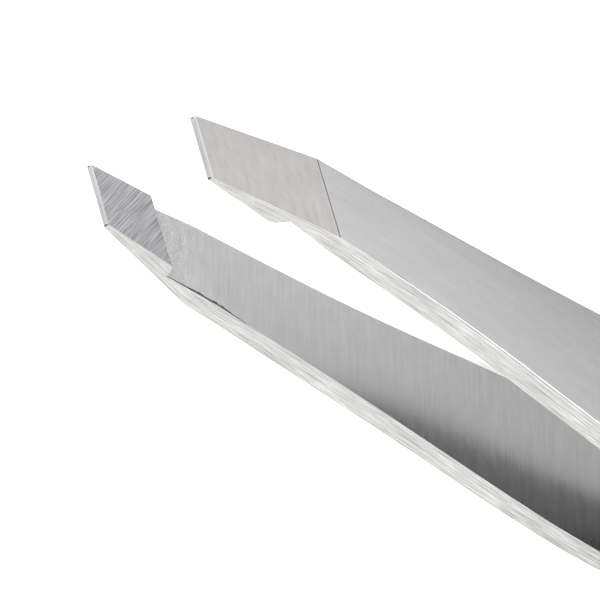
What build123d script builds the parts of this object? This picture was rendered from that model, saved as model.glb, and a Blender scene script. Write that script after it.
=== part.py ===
from build123d import *
import os
from math import radians, tan

os.makedirs("parts", exist_ok=True)

# Slant tweezers: two steel strips, mirror images of each other, spot-welded face to face at
# the heel.  The free end of each strip is a slanted jaw: a raised flat pad on the inside,
# a long ground bevel on the outside, and a narrow blunt edge where the two meet at the tip.
#
# Frame: +X runs from the heel to the tips, +Y is the way in which the left strip opens, and
# the tweezers lie on their narrow sides with +Z up.  The origin is under the middle of the
# overall box, on the surface that they lie on.  The strips mirror each other in y = 0.
# A station is a distance back from the pointed corner of the tips, towards the heel.

# ---- Driving dimensions (millimetres, degrees) ----
length = 95.0            # overall, heel to tips
width = 9.7              # of a strip across the grip, its widest stretch
tip_gap = 7.5            # between the two pads when the tweezers are open

# The jaw.
slant = 25.6             # how far the tip edge leans back from straight across
tip_half_width = 1.62    # half the width of a strip at the tips
tip_thickness = 0.38     # of the blunt edge between pad and bevel
bevel_slope = 0.213      # rise of the outer bevel per millimetre back from the tip edge
pad_length = 5.38        # from the tip edge to the pad's rear corner
pad_step_run = 0.52      # the pad's rear end slopes down over this length
pad_end_radius = 0.5     # where the pad turns down into that slope
relief_inner = 4.72      # inner face at the foot of the slope, where the relief is deepest
relief_length = 9.9      # from the tip edge to where the relief has run out
corner_radius = 0.1      # of the pointed corner, and of the tip edge towards the bevel
corner_loss = 0.054      # what that rounding takes off the pointed corner's reach

# The strip seen from its narrow side: how far its two faces stand from the mid-plane y = 0.
pad_back = 8.0           # station behind the pad and ahead of the jaw root
jaw_root = 12.0          # station where the jaw ends and the long bow begins
bow_crown = 20.0         # station where the outer faces stand furthest apart
bow_middle = 32.0
grip_front = 52.0        # station where the bow turns in towards the heel
weld_front = 82.0        # station where the two strips meet
jaw_inner = 4.45         # inner face at the jaw root, and as far forward as the relief
bow_inner = 4.19
grip_inner = 3.70
jaw_outer = 5.98         # outer face, at the same stations and at the crown
crown_outer = 6.05
bow_outer = 5.88
grip_outer = 5.55
bow_lean = 0.03          # rise of both faces per millimetre forward at the grip's front
heel_thickness = 1.15    # of each strip at the heel, thin enough to flex ahead of the weld
edge_radius = 0.15       # of the long outer edges

# The strip seen from its face: half its width at each station.
flank_end = 20.0         # the flanks are straight as far back as this
flank_half_width = 2.72
swell = 35.0
swell_half_width = 3.92
full_width_front = 50.5  # the sides run parallel from here to the weld's front
heel_half_width = 4.2
heel_corner_radius = 3.0

# The flexure: each strip bends ahead of the weld, and a hinge here stands for that.
hinge_station = 77.5
hinge_gap = 0.05         # between a moving arm and its fixed tail

# The spot welds: lens-shaped nuggets astride the two faces that meet at the heel.
weld_radius = 1.5
weld_depth = 0.6         # into each strip
weld_stations = (86.0, 91.0)

# ---- Derived places ----
heel_x = -length / 2
tip_x = length / 2 + corner_loss
mid_z = width / 2
tip_z = mid_z - tip_half_width        # the pointed corner is the lower one
pad_y = tip_gap / 2
tip_outer_y = pad_y + tip_thickness
slant_direction = (-tan(radians(slant)), 0, 1)
clear = 12.0                          # further than any cut has to reach


def at(station):
    """The x of a station."""
    return tip_x - station


def runs_lengthwise(edge):
    """Whether an edge runs more along the tweezers than across them."""
    return abs(edge.tangent_at(0.5).X) > 0.6


def runs_across(edge):
    """Whether an edge runs more across the tweezers than along them."""
    return not runs_lengthwise(edge)


# ---- The left strip, in one piece from heel to tip ----
with BuildPart() as left_strip:
    # Side view: both faces, with the pad's level carried back past the pad for now.
    with BuildSketch(Plane.XY):
        with BuildLine():
            inner_bow = Spline(
                (at(jaw_root), jaw_inner),
                (at(bow_middle), bow_inner),
                (at(grip_front), grip_inner),
                tangents=[(-1, 0), (-1, -bow_lean)],
            )
            inner_bend = Spline(
                inner_bow @ 1, (at(weld_front), 0), tangents=[(-1, -bow_lean), (-1, 0)]
            )
            outer_bow = Spline(
                (at(jaw_root), jaw_outer),
                (at(bow_crown), crown_outer),
                (at(bow_middle), bow_outer),
                (at(grip_front), grip_outer),
                tangents=[(-1, 0), (-1, -bow_lean)],
            )
            outer_bend = Spline(
                outer_bow @ 1,
                (at(weld_front), heel_thickness),
                tangents=[(-1, -bow_lean), (-1, 0)],
            )
            Polyline(inner_bend @ 1, (heel_x, 0), (heel_x, heel_thickness), outer_bend @ 1)
            Polyline(
                inner_bow @ 0,
                (at(pad_back), jaw_inner),
                (at(pad_back), pad_y),
                (at(-clear), pad_y),
                (at(-clear), jaw_outer),
                outer_bow @ 0,
            )
        make_face()
    extrude(amount=width)

    # Face view: narrow at the tip, swelling to the grip, rounded off at the heel.
    flank_slope = (flank_half_width - tip_half_width) / flank_end
    with BuildSketch(Plane((0, 0, mid_z), x_dir=(1, 0, 0), z_dir=(0, -1, 0))) as face_view:
        with BuildLine():
            flank = Line(
                (at(-clear), tip_half_width - clear * flank_slope),
                (at(flank_end), flank_half_width),
            )
            side = Spline(
                flank @ 1,
                (at(swell), swell_half_width),
                (at(full_width_front), width / 2),
                tangents=[(-1, flank_slope), (-1, 0)],
            )
            grip = Line(side @ 1, (at(weld_front), width / 2))
            taper = TangentArc(grip @ 1, (heel_x, heel_half_width), tangent=(-1, 0))
            Line(taper @ 1, (heel_x, 0))
            Line(flank @ 0, (at(-clear), 0))
            mirror(about=Plane.XZ)
        make_face()
        fillet(face_view.vertices().group_by(Axis.X)[0], heel_corner_radius)
    extrude(amount=clear, both=True, mode=Mode.INTERSECT)

    # The jaw's cuts run parallel to the slanted tip edge.  First the tip edge and the bevel.
    bevel_reach = 2 * jaw_root
    with BuildSketch(Plane.XY.offset(tip_z)):
        with BuildLine():
            Polyline(
                (at(0), pad_y - clear),
                (at(0), tip_outer_y),
                (at(bevel_reach), tip_outer_y + bevel_reach * bevel_slope),
                (at(bevel_reach), tip_outer_y + clear),
                (at(-2 * clear), tip_outer_y + clear),
                (at(-2 * clear), pad_y - clear),
                close=True,
            )
        make_face()
    extrude(amount=2 * clear, dir=slant_direction, both=True, mode=Mode.SUBTRACT)

    # Then the step down from the pad, and the relief that runs out into the inner face.
    step_end = pad_length + pad_step_run
    with BuildSketch(Plane.XY.offset(tip_z)):
        with BuildLine():
            Polyline(
                (at(pad_length), pad_y - 1),
                (at(pad_length), pad_y),
                (at(step_end), relief_inner),
                (at(relief_length), jaw_inner),
                (at(relief_length), pad_y - 1),
                close=True,
            )
        make_face()
    extrude(amount=2 * clear, dir=slant_direction, both=True, mode=Mode.SUBTRACT)

    # The pad turns down into its step in an arc, and the long outer edges, which the fingers
    # meet, are rounded.
    pad = left_strip.faces().filter_by(Axis.Y).sort_by(Axis.X)[-1]
    fillet(pad.edges().filter_by(runs_across).sort_by(Axis.X)[0], pad_end_radius)
    outer_faces = left_strip.faces().filter_by(lambda face: face.normal_at().Y > 0.5)
    fillet(outer_faces.edges().filter_by(runs_lengthwise), edge_radius)

    # The pointed corner is rounded too.  Its rounding meets the outer edge's smoothly, so it
    # runs on along the tip edge to the other corner.
    pointed_corner = left_strip.edges().filter_by(Axis.Y).sort_by(Axis.X)[-1]
    fillet(pointed_corner, corner_radius)

# ---- The right strip mirrors it ----
with BuildPart() as right_strip:
    mirror(left_strip.part, about=Plane.XZ)

# ---- The spot welds, fused metal inside the heel ----
with BuildPart() as weld_lens:
    with BuildSketch(Plane.XY):
        with BuildLine():
            ThreePointArc((-weld_radius, 0), (0, weld_depth), (weld_radius, 0))
            ThreePointArc((-weld_radius, 0), (0, -weld_depth), (weld_radius, 0))
        make_face()
        split(bisect_by=Plane.YZ)
    revolve(axis=Axis.Y)

with BuildPart() as spot_welds:
    with Locations([(at(station), 0, mid_z) for station in weld_stations]):
        add(weld_lens.part)
spot_welds.part.label = "spot_welds"
export_step(spot_welds.part, "parts/spot_welds.step")

# ---- Each strip is parted at its hinge into a moving arm and a fixed tail ----
arm_end = Plane.YZ.offset(at(hinge_station) + hinge_gap / 2)
tail_end = Plane.YZ.offset(at(hinge_station) - hinge_gap / 2)

with BuildPart() as left_arm:
    add(left_strip.part)
    split(bisect_by=arm_end, keep=Keep.TOP)
left_arm.part.label = "left_arm"
export_step(left_arm.part, "parts/left_arm.step")

with BuildPart() as right_arm:
    add(right_strip.part)
    split(bisect_by=arm_end, keep=Keep.TOP)
right_arm.part.label = "right_arm"
export_step(right_arm.part, "parts/right_arm.step")

with BuildPart() as left_tail:
    add(left_strip.part)
    split(bisect_by=tail_end, keep=Keep.BOTTOM)
    add(spot_welds.part, mode=Mode.SUBTRACT)
left_tail.part.label = "left_tail"
export_step(left_tail.part, "parts/left_tail.step")

with BuildPart() as right_tail:
    add(right_strip.part)
    split(bisect_by=tail_end, keep=Keep.BOTTOM)
    add(spot_welds.part, mode=Mode.SUBTRACT)
right_tail.part.label = "right_tail"
export_step(right_tail.part, "parts/right_tail.step")
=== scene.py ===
import bisect
import math
import random

import bpy
import numpy as np
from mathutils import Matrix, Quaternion, Vector


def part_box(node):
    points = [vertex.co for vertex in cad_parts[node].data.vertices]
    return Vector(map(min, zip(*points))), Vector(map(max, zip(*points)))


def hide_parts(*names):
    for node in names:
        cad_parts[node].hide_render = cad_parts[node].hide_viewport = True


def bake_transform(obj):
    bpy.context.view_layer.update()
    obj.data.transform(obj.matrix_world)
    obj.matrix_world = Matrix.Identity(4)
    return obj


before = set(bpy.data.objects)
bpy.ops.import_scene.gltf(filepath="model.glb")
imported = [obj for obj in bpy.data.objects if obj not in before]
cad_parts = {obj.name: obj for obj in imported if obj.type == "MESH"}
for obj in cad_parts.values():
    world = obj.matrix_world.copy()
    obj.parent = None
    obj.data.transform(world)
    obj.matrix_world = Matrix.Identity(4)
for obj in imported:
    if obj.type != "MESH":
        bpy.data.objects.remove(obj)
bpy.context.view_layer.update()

# Lengths are in millimetres here and become metres where a mesh or a place is made.
# A station is a distance back from the pointed corner of the tips, towards the heel.
# Heights across a strip, z, are measured from the middle of its width.
MM = 0.001

# ---- The strip's shape, as in the CAD model ----
SLANT = math.radians(25.6)   # how far the tip edge leans back from straight across
TIP_HALF_WIDTH = 1.62
TIP_THICKNESS = 0.38
PAD_Y = 3.75                 # half the gap between the pads
BEVEL_SLOPE = 0.213
PAD_LENGTH = 5.38
PAD_STEP_RUN = 0.52
PAD_END_RADIUS = 0.5
RELIEF_INNER = 4.72          # inner face at the foot of the step, where the relief is deepest
RELIEF_LENGTH = 9.9          # from the tip edge to where the relief has run out
CORNER_RADIUS = 0.1
CORNER_LOSS = 0.054          # what rounding takes off the pointed corner's reach
JAW_ROOT, BOW_CROWN, BOW_MIDDLE, GRIP_FRONT, WELD_FRONT = 12.0, 20.0, 32.0, 52.0, 82.0
JAW_INNER, BOW_INNER, GRIP_INNER = 4.45, 4.19, 3.70
JAW_OUTER, CROWN_OUTER, BOW_OUTER, GRIP_OUTER = 5.98, 6.05, 5.88, 5.55
BOW_LEAN = 0.03
HEEL_THICKNESS = 1.15
EDGE_RADIUS = 0.15
FLANK_END, SWELL, FULL_WIDTH_FRONT = 20.0, 35.0, 50.5
FLANK_HALF_WIDTH, SWELL_HALF_WIDTH = 2.72, 3.92
HEEL_HALF_WIDTH = 4.2
HEEL_CORNER_RADIUS = 3.0

low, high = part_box("left_arm")
TIP_X = high.x / MM + CORNER_LOSS
MID_Z = (low.z + high.z) / 2 / MM
FULL_HALF_WIDTH = (high.z - low.z) / 2 / MM
HEEL_STATION = TIP_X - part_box("left_tail")[0].x / MM
FLANK_SLOPE = (FLANK_HALF_WIDTH - TIP_HALF_WIDTH) / FLANK_END
BEVEL_END = (JAW_OUTER - PAD_Y - TIP_THICKNESS) / BEVEL_SLOPE

# ---- Details that only show close up ----
FINE_EDGE = 0.03             # rounding of the edges that were left sharp
RIM_RADIUS = 0.08            # of the tip edge towards the pad
CREASE_DEPTH = 0.035         # of the fine line behind the bevel
CREASE_HALF_WIDTH = 0.035
CREASE_SET_BACK = 0.02       # of that line's middle, behind the bevel's end
EDGE_GROWTH = 6.0            # behind the bevel, the long outer edges grow round over this length
TIP_LINE_END = 0.06          # the ends of the tip edge carry a painted shade line as far back as this
BURR_START, BURR_END = 5.9, 12.5     # where grinding left a burr on the inner edge
BURR_WIDTH = 0.14
BURR_RISE, BURR_FADE = 3.0, 10.0     # length that it grows over, and where it begins to fade
BURR_SET_IN, BURR_PROUD = 0.3, 0.1   # how far it sits in and stands out, as shares of its width
FAN_START, FAN_RUN = 3.0, 7.0        # where the strokes on a narrow side fan out, and how fast

# ---- How finely the mesh follows the shape ----
FACE_POINTS = 25             # across a face
SIDE_POINTS = 9              # across a narrow side
ROUND_POINTS = 4             # round a long edge
LAST_SHARE = 0.97            # a last point close to the inner edge, so that shading stays flat
LEAN_FADE = 28.0             # behind the jaw root, the rings straighten over this length
FLANK_ROUNDS = 12            # rounds in which the end of a ring settles on the flank
SHARP_ANGLE = 35.0           # degrees; edges sharper than this are shaded as edges


def smooth(t):
    """0 below 0, 1 above 1, and smooth between."""
    t = min(max(t, 0.0), 1.0)
    return t * t * (3 - 2 * t)


def spline(stations, values, first_slope, last_slope):
    """The smooth curve through some points with a given slope at each end."""
    count = len(stations)
    gaps = np.diff(stations)
    rises = np.diff(values) / gaps
    rows, right = np.eye(count), np.zeros(count)
    right[0], right[-1] = first_slope, last_slope
    for i in range(1, count - 1):
        rows[i, i - 1 : i + 2] = gaps[i], 2 * (gaps[i - 1] + gaps[i]), gaps[i - 1]
        right[i] = 3 * (gaps[i] * rises[i - 1] + gaps[i - 1] * rises[i])
    slopes = np.linalg.solve(rows, right)

    def value(s):
        i = min(max(bisect.bisect(stations, s) - 1, 0), count - 2)
        t = (s - stations[i]) / gaps[i]
        ends = values[i] + (values[i + 1] - values[i]) * t * t * (3 - 2 * t)
        lean_out = slopes[i] * t * (1 - t) ** 2 - slopes[i + 1] * t * t * (1 - t)
        return float(ends + gaps[i] * lean_out)

    return value


inner_bow = spline(
    (JAW_ROOT, BOW_MIDDLE, GRIP_FRONT), (JAW_INNER, BOW_INNER, GRIP_INNER), 0, -BOW_LEAN
)
outer_bow = spline(
    (JAW_ROOT, BOW_CROWN, BOW_MIDDLE, GRIP_FRONT),
    (JAW_OUTER, CROWN_OUTER, BOW_OUTER, GRIP_OUTER),
    0,
    -BOW_LEAN,
)
inner_bend = spline((GRIP_FRONT, WELD_FRONT), (GRIP_INNER, 0), -BOW_LEAN, 0)
outer_bend = spline((GRIP_FRONT, WELD_FRONT), (GRIP_OUTER, HEEL_THICKNESS), -BOW_LEAN, 0)
flank_swell = spline(
    (FLANK_END, SWELL, FULL_WIDTH_FRONT),
    (FLANK_HALF_WIDTH, SWELL_HALF_WIDTH, FULL_HALF_WIDTH),
    FLANK_SLOPE,
    0,
)


def body_face(s, bow, bend):
    """How far one face of the strip stands from the mid-plane, behind the jaw."""
    if s < GRIP_FRONT:
        return bow(max(s, JAW_ROOT))
    return bend(min(s, WELD_FRONT))


def half_width(s):
    """Half the strip's width at a station."""
    if s < FLANK_END:
        return TIP_HALF_WIDTH + FLANK_SLOPE * s
    if s < FULL_WIDTH_FRONT:
        return flank_swell(s)
    if s < WELD_FRONT:
        return FULL_HALF_WIDTH
    run, drop = HEEL_STATION - WELD_FRONT, FULL_HALF_WIDTH - HEEL_HALF_WIDTH
    radius = (run * run + drop * drop) / (2 * drop)
    width = FULL_HALF_WIDTH - radius + math.sqrt(radius**2 - (s - WELD_FRONT) ** 2)
    past = min(s - (HEEL_STATION - HEEL_CORNER_RADIUS), HEEL_CORNER_RADIUS)
    if past > 0:
        width -= HEEL_CORNER_RADIUS - math.sqrt(HEEL_CORNER_RADIUS**2 - past**2)
    return width


# The mesh is a row of rings, each a closed outline round the strip.  Ring t crosses the
# lower side of the tip t millimetres behind the tip edge.  The rings lean with the tip edge
# through the jaw, so that pad, step and bevel end on rings, and straighten behind it.
def lean(t):
    """How far ring t leans back per millimetre of height."""
    return math.tan(SLANT) * (1 - smooth((t - JAW_ROOT) / LEAN_FADE))


def station(t, z):
    """The station of the point at height z on ring t."""
    return t + lean(t) * (z + TIP_HALF_WIDTH)


def flank_height(t, side):
    """Where ring t meets the strip's upper (side 1) or lower (side -1) flank."""
    z = side * half_width(t)
    for _ in range(FLANK_ROUNDS):
        z = side * half_width(min(max(station(t, z), 0.0), HEEL_STATION))
    return z


def ring_end(t, side):
    """The upper or lower end of ring t, with the corners of the tip rounded."""
    depth = t * math.cos(SLANT)
    corner = math.pi / 2 + side * SLANT + math.atan(FLANK_SLOPE)
    reach = CORNER_RADIUS / math.tan(corner / 2)
    if depth >= min(reach * math.sin(corner), CORNER_RADIUS):
        return flank_height(t, side)
    along = reach - math.sqrt(CORNER_RADIUS**2 - (CORNER_RADIUS - depth) ** 2)
    inwards = along + side * t * math.sin(SLANT)
    return flank_height(0.0, side) - side * inwards * math.cos(SLANT)


def nip(t, radius):
    """How much the tip's rounded rim takes off a face on ring t."""
    gap = radius - t * math.cos(SLANT)
    return radius - math.sqrt(radius**2 - gap**2) if gap > 0 else 0.0


def outer_face(t, s):
    """Height of the outer face: the ground bevel, then a fine crease and the body."""
    bevel = PAD_Y + TIP_THICKNESS + BEVEL_SLOPE * t - nip(t, CORNER_RADIUS)
    off_middle = (t - BEVEL_END - CREASE_SET_BACK) / CREASE_HALF_WIDTH
    crease = CREASE_DEPTH * math.exp(-(off_middle**2))
    return min(bevel, body_face(s, outer_bow, outer_bend)) - crease


def inner_face(t, s):
    """Height of the inner face: pad, rounded step at its rear end, relief, then the body."""
    if t >= PAD_LENGTH + PAD_STEP_RUN:
        left = max(0.0, (RELIEF_LENGTH - t) / (RELIEF_LENGTH - PAD_LENGTH - PAD_STEP_RUN))
        return body_face(s, inner_bow, inner_bend) + left * (RELIEF_INNER - JAW_INNER)
    fall = math.atan((RELIEF_INNER - PAD_Y) / PAD_STEP_RUN)
    tangent = PAD_END_RADIUS * math.tan(fall / 2)
    past = t - (PAD_LENGTH - tangent)
    if past <= 0:
        return PAD_Y + nip(t, RIM_RADIUS)
    if past < PAD_END_RADIUS * math.sin(fall):
        return PAD_Y + PAD_END_RADIUS - math.sqrt(PAD_END_RADIUS**2 - past**2)
    return PAD_Y + (t - PAD_LENGTH) * math.tan(fall)


def spread(runs):
    """Ring parameters from runs of (start, step); the last run only ends the one before."""
    values = []
    for (start, step), (end, _) in zip(runs, runs[1:]):
        count = max(1, round((end - start) / step))
        values += [start + (end - start) * i / count for i in range(count)]
    values.append(runs[-1][0])
    return values


RINGS = spread(
    [
        (0.0, 0.012), (0.12, 0.04), (0.4, 0.16), (5.1, 0.035), (BURR_START + 0.1, 0.07),
        (BEVEL_END - 0.1, 0.02), (BEVEL_END + 0.14, 0.07), (BURR_END, 0.3), (30.0, 0.6),
        (60.0, 1.0), (HEEL_STATION - HEEL_CORNER_RADIUS, 0.15), (HEEL_STATION - 0.3, 0.03),
        (HEEL_STATION, 0.0),
    ]
)


def burr(t):
    """Full width, at ring t, of the burr on the inner upper edge."""
    fading = smooth((t - BURR_FADE) / (BURR_END - BURR_FADE))
    return BURR_WIDTH * smooth((t - BURR_START) / BURR_RISE) * (1 - fading)


def grinding_base(s):
    """The level that the strokes on a narrow side fan out from: the pad's, then the body's."""
    rise = smooth((s - FAN_START) / FAN_RUN)
    return PAD_Y + (body_face(s, inner_bow, inner_bend) - PAD_Y) * rise


def cross_section(t, worn, ragged):
    """The outline of ring t, from the outer face round: (station, y, z, grain y, kind)."""
    z_low, z_high = ring_end(t, -1), ring_end(t, 1)
    edge = FINE_EDGE + (EDGE_RADIUS - FINE_EDGE) * smooth((t - BEVEL_END) / EDGE_GROWTH)
    points = []

    def add(s, y, z, outer, kind):
        share = (outer - y) / (outer - grinding_base(s))
        points.append((s, y, z, share * (JAW_OUTER - JAW_INNER), kind))

    def put(z, kind, below_outer=0.0, above_inner=None):
        s = station(t, z)
        outer, inner = outer_face(t, s), inner_face(t, s)
        y = outer - below_outer if above_inner is None else inner + above_inner
        add(s, y, z, outer, kind)

    def narrow_side(z, shares):
        s = station(t, z)
        outer, bottom = outer_face(t, s), inner_face(t, s) + FINE_EDGE
        top = outer - edge
        for share in shares:
            add(s, top + (bottom - top) * share, z, outer, "side")

    quarter = [math.pi / 2 * i / ROUND_POINTS for i in range(1, ROUND_POINTS)]
    across = [i / (FACE_POINTS - 1) for i in range(FACE_POINTS)]
    through = [i / (SIDE_POINTS - 1) for i in range(SIDE_POINTS - 1)] + [LAST_SHARE, 1.0]
    for share in across:
        put(z_low + edge + (z_high - z_low - 2 * edge) * share, "outer")
    for angle in quarter:
        put(z_high - edge * (1 - math.sin(angle)), "edge", edge * (1 - math.cos(angle)))
    narrow_side(z_high, through)
    put(z_high - BURR_SET_IN * worn, "burr", above_inner=-BURR_PROUD * ragged)
    z_first, z_last = z_high - FINE_EDGE - BURR_SET_IN * worn - ragged, z_low + FINE_EDGE
    for share in across:
        put(z_first + (z_last - z_first) * share, "inner", above_inner=0.0)
    narrow_side(z_low, reversed(through))
    for angle in reversed(quarter):
        put(z_low + edge * (1 - math.sin(angle)), "edge", edge * (1 - math.cos(angle)))
    return points


ZONES = [
    "outer_face", "bevel", "rounded_edge", "narrow_side", "inner_face", "pad", "tip_edge",
    "tip_rim_painted_highlight", "painted_shade_line",
]


def zone_of(kinds, t):
    """The material zone of the faces between two neighbouring kinds of point near ring t."""
    # Near-black painted shade goes on the burr, the fine crease behind the bevel and the ends of
    # the tip edge.
    if kinds == {"burr", "inner"} and t > CORNER_RADIUS:
        if t < BURR_START:
            return "pad"
        return "painted_shade_line" if t < BURR_END else "inner_face"
    if kinds <= {"side", "burr"}:
        burred = "burr" in kinds and BURR_START < t < BURR_END
        return "painted_shade_line" if burred or t < TIP_LINE_END else "narrow_side"
    # The tip's rounded rims get a lighter tone than the tip edge: a painted highlight.
    if t < CORNER_RADIUS:
        return "tip_rim_painted_highlight"
    if kinds == {"inner"} or kinds == {"inner", "side"}:
        return "pad" if t < PAD_LENGTH + PAD_STEP_RUN else "inner_face"
    if t < BEVEL_END - CREASE_HALF_WIDTH:
        return "bevel"
    if t < BEVEL_END + 2 * CREASE_HALF_WIDTH:
        return "painted_shade_line"
    return "outer_face" if kinds == {"outer"} else "rounded_edge"


def build_strip(name, side):
    """One strip, tip to heel; side is 1 for the left one and -1 for its mirror image."""
    rng = random.Random(7 + side)
    rings = [
        cross_section(t, burr(t) * rng.uniform(0.2, 1), burr(t) * rng.uniform(0.2, 1))
        for t in RINGS
    ]
    count = len(rings[0])
    kinds = [point[4] for point in rings[0]]
    vertices, grain = [], []
    for ring in rings:
        for s, y, z, through, _ in ring:
            vertices.append(((TIP_X - s) * MM, side * y * MM, (MID_Z + z) * MM))
            grain.append((s, through, z + 20 * side))
    faces, zones = [], []
    for i, (t, next_t) in enumerate(zip(RINGS, RINGS[1:])):
        for j in range(count):
            k = (j + 1) % count
            quad = [i * count + j, i * count + k, (i + 1) * count + k, (i + 1) * count + j]
            faces.append(quad if side > 0 else quad[::-1])
            zones.append(zone_of({kinds[j], kinds[k]}, (t + next_t) / 2))
    tip_cap = list(range(count))
    heel_cap = list(range(len(vertices) - count, len(vertices)))
    faces.append(tip_cap[::-1] if side > 0 else tip_cap)
    faces.append(heel_cap if side > 0 else heel_cap[::-1])
    zones += ["tip_edge", "narrow_side"]

    mesh = bpy.data.meshes.new(name)
    mesh.from_pydata(vertices, [], faces)
    attribute = mesh.attributes.new("grain", "FLOAT_VECTOR", "POINT")
    attribute.data.foreach_set("vector", np.array(grain, np.float32).ravel())
    for zone in ZONES:
        mesh.materials.append(STEEL[zone])
    mesh.polygons.foreach_set("material_index", [ZONES.index(zone) for zone in zones])
    mesh.polygons.foreach_set("use_smooth", [True] * len(faces))
    mesh.set_sharp_from_angle(angle=math.radians(SHARP_ANGLE))
    strip = bpy.data.objects.new(name, mesh)
    bpy.context.scene.collection.objects.link(strip)
    return strip


# ---- Materials ----
def add_node(tree, kind, inputs=(), **settings):
    """Adds a shader node, sets its properties, and sets or links its inputs by name."""
    made = tree.nodes.new(kind)
    for key, value in settings.items():
        setattr(made, key, value)
    for key, value in dict(inputs).items():
        if isinstance(value, bpy.types.NodeSocket):
            tree.links.new(value, made.inputs[key])
        else:
            made.inputs[key].default_value = value
    return made


def brush_strokes(tree, place, length, width, angle, depth):
    """A factor round 1 from noise drawn out into strokes at an angle to the strip."""
    turned = add_node(
        tree, "ShaderNodeVectorRotate",
        {"Vector": place, "Angle": -math.radians(angle)}, rotation_type="Z_AXIS",
    )
    scaled = add_node(
        tree, "ShaderNodeVectorMath",
        {0: turned.outputs[0], 1: (1 / length, 1 / width, 1)}, operation="MULTIPLY",
    )
    noise = add_node(
        tree, "ShaderNodeTexNoise",
        {"Vector": scaled.outputs[0], "Scale": 1.0, "Detail": 2.0, "Roughness": 0.55},
    )
    # Noise keeps close to its middle value, so its middle third is spread over the range.
    spread_out = add_node(
        tree, "ShaderNodeMapRange",
        {"Value": noise.outputs["Fac"], "From Min": 0.33, "From Max": 0.67,
         "To Min": 1 - depth, "To Max": 1 + depth},
    )
    return spread_out.outputs[0]


def multiply(tree, first, second):
    """The product of two sockets, or of a socket and a number."""
    return add_node(tree, "ShaderNodeMath", {0: first, 1: second}, operation="MULTIPLY").outputs[0]


def steel(name, tone, roughness, plane, brushes, bump=0.0, clouds=0.0, grip_darkening=0.0):
    """Brushed steel.  plane is the pair of grain axes that the surface lies in.  Each brush
    is (stroke length, stroke width, angle to the strip, depth of tone).  clouds is the depth
    of the mottled patches that grinding left just behind the pad, and the darkening towards the
    grip is how far tone and roughness fall from the jaw to the grip."""
    made = bpy.data.materials.new(name)
    made.use_nodes = True
    tree = made.node_tree
    shader = tree.nodes["Principled BSDF"]
    shader.inputs["Metallic"].default_value = 1.0
    shader.inputs["Specular Tint"].default_value = (0.5, 0.5, 0.5, 1)
    grain = add_node(tree, "ShaderNodeAttribute", attribute_name="grain")
    axes = add_node(tree, "ShaderNodeSeparateXYZ", {0: grain.outputs["Vector"]}).outputs
    flat = add_node(tree, "ShaderNodeCombineXYZ", {0: axes[plane[0]], 1: axes[plane[1]]})
    factor = None
    for brush in brushes:
        strokes = brush_strokes(tree, flat.outputs[0], *brush)
        factor = strokes if factor is None else multiply(tree, factor, strokes)
    if clouds:
        wide = brush_strokes(tree, flat.outputs[0], 1.2, 0.6, 60, 0.5 * clouds)
        speckle = brush_strokes(tree, flat.outputs[0], 0.16, 0.1, 30, clouds)
        fade = add_node(
            tree, "ShaderNodeMapRange",
            {"Value": axes[0], "From Min": 8.0, "From Max": 11.5}, interpolation_type="SMOOTHSTEP",
        )
        patches = multiply(tree, wide, speckle)
        faded = add_node(tree, "ShaderNodeMix", {0: fade.outputs[0], 2: patches, 3: 1.0})
        factor = multiply(tree, factor, faded.outputs[0])
    if grip_darkening:
        grip_dark = add_node(
            tree, "ShaderNodeMapRange",
            {"Value": axes[0], "From Min": JAW_ROOT, "From Max": GRIP_FRONT,
             "To Min": 1 + grip_darkening / 2, "To Max": 1 - grip_darkening / 2},
        )
        factor = multiply(tree, factor, grip_dark.outputs[0])
    colour = add_node(
        tree, "ShaderNodeVectorMath", {0: tone, "Scale": factor}, operation="SCALE"
    )
    tree.links.new(colour.outputs[0], shader.inputs["Base Color"])
    tree.links.new(multiply(tree, factor, roughness), shader.inputs["Roughness"])
    if bump:
        bumped = add_node(
            tree, "ShaderNodeBump", {"Strength": bump, "Distance": 0.01 * MM, "Height": factor}
        )
        tree.links.new(bumped.outputs[0], shader.inputs["Normal"])
    return made


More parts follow.
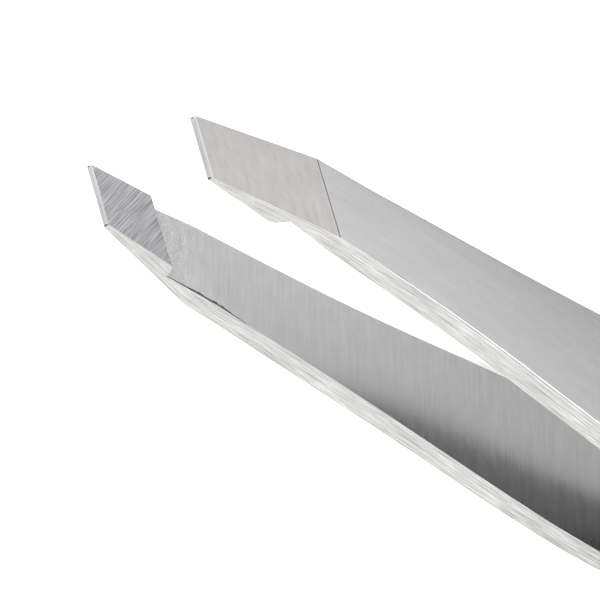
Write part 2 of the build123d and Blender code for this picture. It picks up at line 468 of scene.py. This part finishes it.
FACE, SIDE = (0, 2), (0, 1)  # grain axes: along and across a face, along and through a side
ACROSS = 90.0
WITH_TIP_EDGE = 90.0 - math.degrees(SLANT)
STEEL = {
    "outer_face": steel(
        "outer_face", (0.232, 0.232, 0.232), 0.30, FACE,
        [(8, 0.09, 0, 0.045), (5, 0.8, 0, 0.03), (0.6, 0.3, 30, 0.02)], 0.4, grip_darkening=0.26,
    ),
    "bevel": steel(
        "bevel", (0.230, 0.223, 0.221), 0.30, FACE,
        [(3, 0.07, WITH_TIP_EDGE, 0.04), (1.2, 0.5, WITH_TIP_EDGE, 0.05), (0.4, 0.2, 20, 0.025)],
        0.3,
    ),
    "rounded_edge": steel("rounded_edge", (0.235, 0.235, 0.23), 0.4, SIDE, [(1.5, 0.08, 0, 0.2)]),
    "narrow_side": steel(
        "narrow_side", (0.335, 0.338, 0.326), 0.28, SIDE,
        [(4, 0.07, 1.5, 0.24), (7, 0.2, -1, 0.10), (2, 0.045, -2.5, 0.24)], 0.6,
    ),
    "inner_face": steel(
        "inner_face", (0.3, 0.296, 0.3), 0.19, FACE,
        [(2.2, 0.09, ACROSS, 0.05), (6, 0.5, ACROSS, 0.035), (1.2, 1.6, 20, 0.03)],
        1.0, clouds=0.16,
    ),
    "pad": steel(
        "pad", (0.234, 0.234, 0.243), 0.28, FACE,
        [(3.5, 0.06, 127, 0.42), (2.5, 0.2, 123, 0.1)], 0.5,
    ),
    "tip_edge": steel("tip_edge", (0.31, 0.31, 0.315), 0.25, FACE, [(2, 0.2, WITH_TIP_EDGE, 0.05)]),
    # The rims are a lighter copy of the tip edge's steel: a painted highlight.
    "tip_rim_painted_highlight": steel("tip_rim_painted_highlight", (0.35, 0.35, 0.35), 0.25, FACE, [(2, 0.2, WITH_TIP_EDGE, 0.05)]),
    # A near-black painted shade line for the crease behind the bevel, the burr and the ends of the
    # tip edge.
    "painted_shade_line": steel("painted_shade_line", (0.07, 0.07, 0.07), 0.5, FACE, [(0.5, 0.3, 0, 0.4)]),
}

# ---- Pieces ----
for side, word in {1: "left", -1: "right"}.items():
    strip = build_strip(f"{word}_strip", side)
    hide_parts(f"{word}_arm", f"{word}_tail")
    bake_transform(strip)

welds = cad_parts["spot_welds"]
welds.data.materials.clear()
welds.data.materials.append(steel("weld_steel", (0.4, 0.4, 0.4), 0.5, FACE, [(1, 1, 0, 0.2)]))

# ---- Floor ----
FLOOR_REACH = 3.0            # metres
corners = [(x, y, 0) for x, y in ((-1, -1), (1, -1), (1, 1), (-1, 1))]
floor_mesh = bpy.data.meshes.new("floor")
floor_mesh.from_pydata([Vector(corner) * FLOOR_REACH for corner in corners], [], [(0, 1, 2, 3)])
floor = bpy.data.objects.new("floor", floor_mesh)
bpy.context.scene.collection.objects.link(floor)
pale = bpy.data.materials.new("pale_floor")
pale.use_nodes = True
pale_shader = pale.node_tree.nodes["Principled BSDF"]
pale_shader.inputs["Base Color"].default_value = (0.8, 0.8, 0.8, 1)
pale_shader.inputs["Roughness"].default_value = 0.9
pale_shader.inputs["Specular IOR Level"].default_value = 0.0
pale_shader.inputs["Emission Color"].default_value = (1, 1, 1, 1)
pale_shader.inputs["Emission Strength"].default_value = 0.5
floor_mesh.materials.append(pale)

# ---- Light: a soft bright dome, and a soft box that picks out the rounded edges ----
world = bpy.data.worlds.new("studio")
bpy.context.scene.world = world
world.use_nodes = True
dome = world.node_tree
direction = add_node(dome, "ShaderNodeTexCoord").outputs["Generated"]
upwards = add_node(dome, "ShaderNodeSeparateXYZ", {0: direction}).outputs[2]
glow = add_node(
    dome, "ShaderNodeMapRange",
    {"Value": upwards, "From Min": 0.0, "From Max": 0.9, "To Min": 1.5, "To Max": 2.7},
)
dome.links.new(glow.outputs[0], dome.nodes["Background"].inputs["Strength"])
dome.nodes["Background"].inputs["Color"].default_value = (1, 1, 1, 1)

soft_box = bpy.data.lights.new("soft_box", "AREA")
soft_box.size = 0.25
soft_box.energy = 1.9
lamp = bpy.data.objects.new("soft_box", soft_box)
bpy.context.scene.collection.objects.link(lamp)
lamp_direction = Vector((-0.66, -0.48, 0.54)).normalized()
lamp.location = lamp_direction * 0.6
lamp.rotation_mode = "QUATERNION"
lamp.rotation_quaternion = lamp_direction.to_track_quat("Z", "Y")

bpy.context.scene.view_settings.view_transform = "Standard"

# ---- Camera: above the open tips, turned half round so that the heel is at the lower right ----
AZIMUTH, ELEVATION, DISTANCE = math.radians(49.8), math.radians(29.9), 196.6
camera_data = bpy.data.cameras.new("camera")
camera_data.lens = 210
camera_data.clip_start = 0.01
camera = bpy.data.objects.new("camera", camera_data)
bpy.context.scene.collection.objects.link(camera)
bpy.context.scene.camera = camera
back = Vector(
    (
        math.sin(AZIMUTH) * math.cos(ELEVATION),
        -math.cos(AZIMUTH) * math.cos(ELEVATION),
        math.sin(ELEVATION),
    )
)
aim = Vector((TIP_X - 8.83, -4.4, MID_Z + 6.5))
camera.location = (aim + back * DISTANCE) * MM
camera.rotation_mode = "QUATERNION"
camera.rotation_quaternion = back.to_track_quat("Z", "Y") @ Quaternion((0, 0, 1), math.pi)
